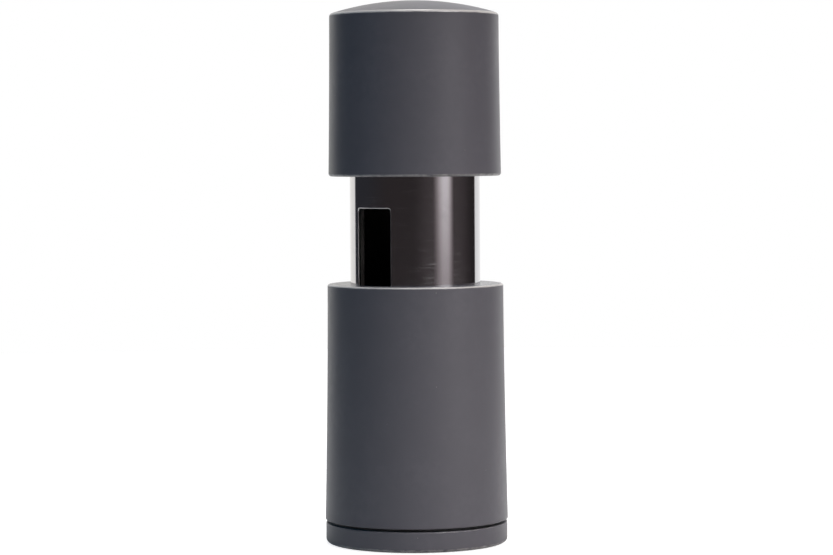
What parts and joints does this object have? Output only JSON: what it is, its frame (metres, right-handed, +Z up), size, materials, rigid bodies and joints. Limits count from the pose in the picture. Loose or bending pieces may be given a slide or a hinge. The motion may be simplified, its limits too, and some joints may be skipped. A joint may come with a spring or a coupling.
{
  "type": "mechanical nutmeg grater",
  "caption": "Upright nutmeg mill: a domed knob slides and turns on a windowed steel sleeve over a blade disc, above a tapered barrel with a pull-off base cap.",
  "frame": {"origin": "centre of the foot pad, on the surface the mill stands on", "axes": "+Z up along the axis of the mill; -Y is the front; the loading window faces 41 degrees from the front towards -X"},
  "size_m": [0.0602, 0.0602, 0.1781],
  "materials": {
    "soft_touch": "soft-touch coated, satin",
    "seam_plastic": "fine moulded grain",
    "polished_steel": "polished, fine ring-wise scratches",
    "chamber_plastic": "moulded, satin",
    "frame_plastic": "moulded, satin",
    "blade_steel": "etched and stamped",
    "glide_nylon": "natural nylon",
    "screw_steel": "bright zinc",
    "spring_steel": "drawn wire",
    "rubber": "matt"
  },
  "bodies": {
    "housing": {"body_shell": "soft_touch", "shoulder_ring": "soft_touch", "steel_sleeve": "polished_steel", "chamber_tube": "chamber_plastic", "stop_ring": "chamber_plastic", "blade_disc": "blade_steel", "blade_carrier": "frame_plastic", "carrier_screws": "screw_steel"},
    "cap": {"base_cap": "soft_touch", "cap_insert": "seam_plastic", "cap_seal": "rubber", "foot_pad": "rubber"},
    "glide": {"glide_ring": "glide_nylon"},
    "knob": {"knob_shell": "soft_touch", "guide_collar": "frame_plastic", "retainer_ring": "frame_plastic", "collar_screws": "screw_steel", "guide_tube": "frame_plastic", "guide_tube_screws": "screw_steel", "spring_seat": "screw_steel", "pusher_spring": "spring_steel"},
    "pusher": {"pusher_head": "chamber_plastic", "cross_pin": "screw_steel", "claw_plate": "blade_steel", "claw_screw": "screw_steel"}
  },
  "joints": [
    {"name": "knob_lift", "type": "slide", "parent": "housing", "child": "glide", "axis": [0, 0, 1], "range_m": [-0.0348, 0]},
    {"name": "knob_turn", "type": "hinge", "parent": "glide", "child": "knob", "pos_m": [0, 0, 0.128], "axis": [0, 0, 1], "continuous": true},
    {"name": "pusher_press", "type": "slide", "parent": "knob", "child": "pusher", "axis": [0, 0, 1], "range_m": [0, 0.026], "stiffness_N_per_m": 274, "springref_m": -0.01, "deforming": ["pusher_spring"]},
    {"name": "base_cap_pull", "type": "slide", "parent": "cap", "child": "housing", "axis": [0, 0, 1], "range_m": [0, 0.03]}
  ]
}
